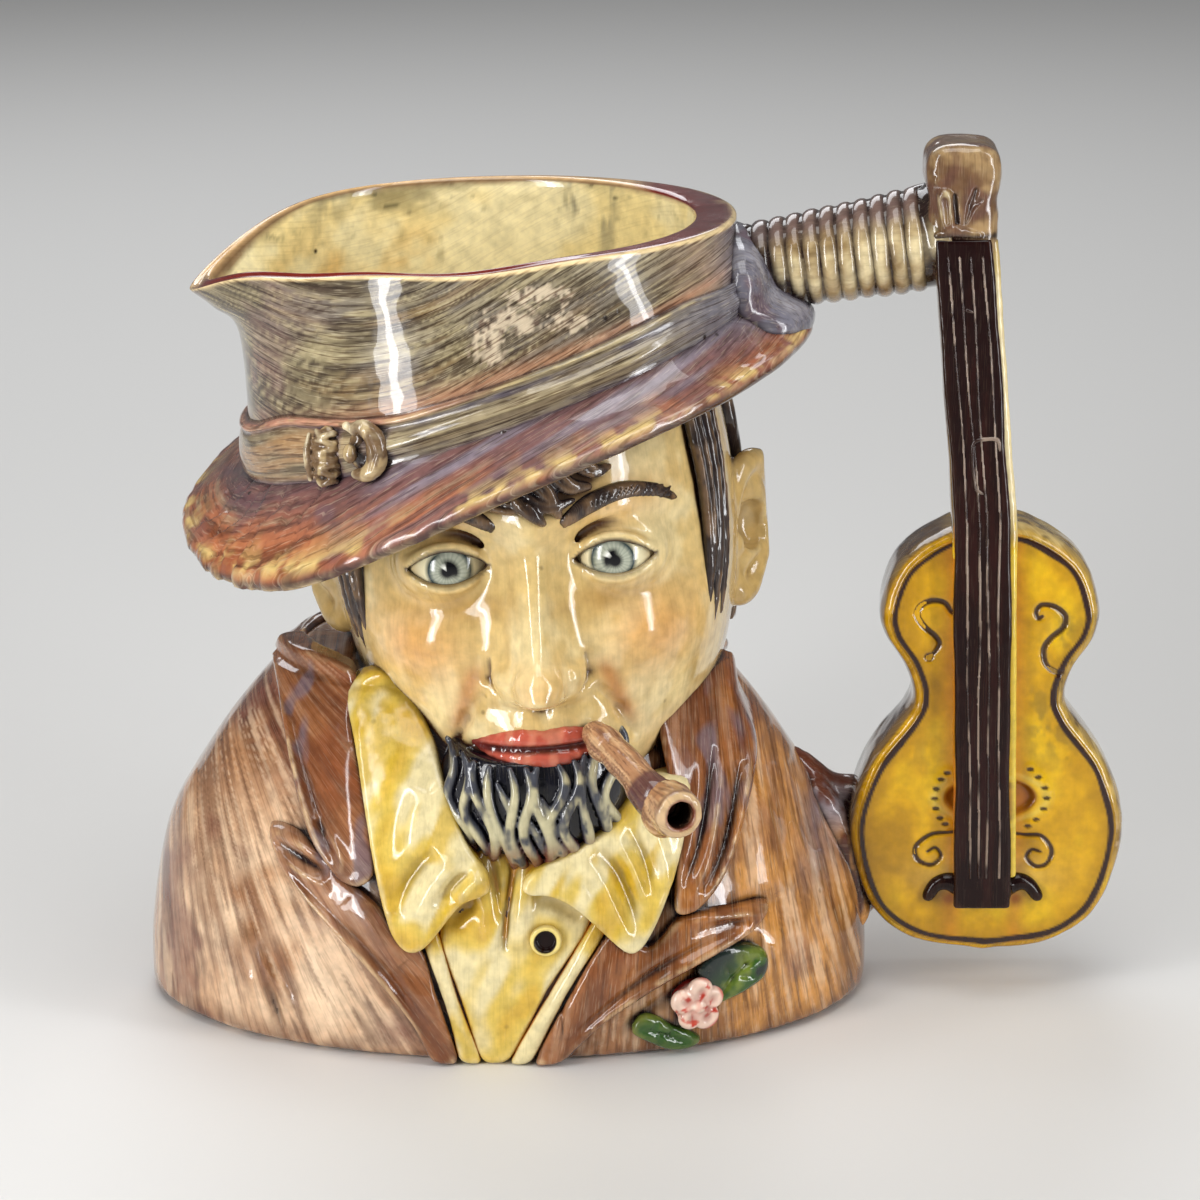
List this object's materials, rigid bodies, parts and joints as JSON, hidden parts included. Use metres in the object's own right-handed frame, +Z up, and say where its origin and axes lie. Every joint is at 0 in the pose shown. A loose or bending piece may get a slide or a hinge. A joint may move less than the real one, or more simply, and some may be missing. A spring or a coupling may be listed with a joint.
{
  "type": "figural jug",
  "caption": "Hollow earthenware jug shaped as the bust of a bearded musician in a tilted hat, with a pouring lip at the hat's rim and a guitar hung from a cord-bound arm as its handle.",
  "frame": {"origin": "centre of the flat foot, on the surface that the jug stands on", "axes": "+Z up, -Y towards the viewer of the face, +X towards the handle"},
  "size_m": [0.1963, 0.1309, 0.175],
  "materials": {
    "coat": "brushed brown and purple-brown glaze, glossy",
    "hat": "streaky grey-brown glaze brushed over cream, glossy",
    "skin": "cream-ochre glaze with orange blush, glossy",
    "hair": "blue-black and brown glaze in the grooves, cream on the ridges, glossy",
    "lips": "brick-pink glaze, glossy",
    "eye": "cream glaze with a painted pupil and iris ring, glossy",
    "shirt": "lemon-yellow glaze with olive shading, glossy",
    "dark": "near-black brown glaze, glossy",
    "petal": "pink-white glaze with red petal lines, glossy",
    "leaf": "green glaze, glossy",
    "cord": "gold-brown glaze with dark grooves, glossy",
    "pipe": "tan-brown glaze, glossy",
    "rim": "gold-brown glaze, worn at the edges, glossy",
    "guitar": "mustard-yellow glaze with painted brown lines, glossy",
    "string": "pale scratched lines in the dark glaze, glossy"
  },
  "bodies": {
    "root": {"coat": "coat", "shirt_front": "shirt", "facing_left": "shirt", "facing_right": "shirt", "lapel_left": "coat", "lapel_right": "coat", "coat_collar_left": "coat", "coat_collar_right": "coat", "coat_collar_back": "coat", "collar_left": "shirt", "collar_right": "shirt", "shirt_button": "dark", "flower_bloom": "petal", "flower_leaf_upper": "leaf", "flower_leaf_lower": "leaf", "head": "skin", "eye_left": "eye", "eyelids_left": "skin", "ear_left": "skin", "eyebrow_left": "hair", "eye_right": "eye", "eyelids_right": "skin", "ear_right": "skin", "eyebrow_right": "hair", "lips": "lips", "beard": "hair", "sideburn_left": "hair", "sideburn_right": "hair", "forelock": "hair", "hair_back": "hair", "hat": "hat", "hat_band": "hat", "hat_knot_left": "cord", "hat_knot_right": "cord", "pipe_stem": "pipe", "pipe_bowl": "pipe", "arm_core": "rim", "arm_cord": "cord", "guitar_body": "rim", "guitar_soundboard": "guitar", "guitar_rail": "guitar", "guitar_neck": "rim", "guitar_fingerboard": "dark", "guitar_bridge": "dark", "guitar_peghead": "rim", "rosette_left": "dark", "rosette_right": "dark", "string_1": "string", "string_2": "string", "string_3": "string", "string_4": "string", "handle_lug": "coat"}
  },
  "joints": []
}
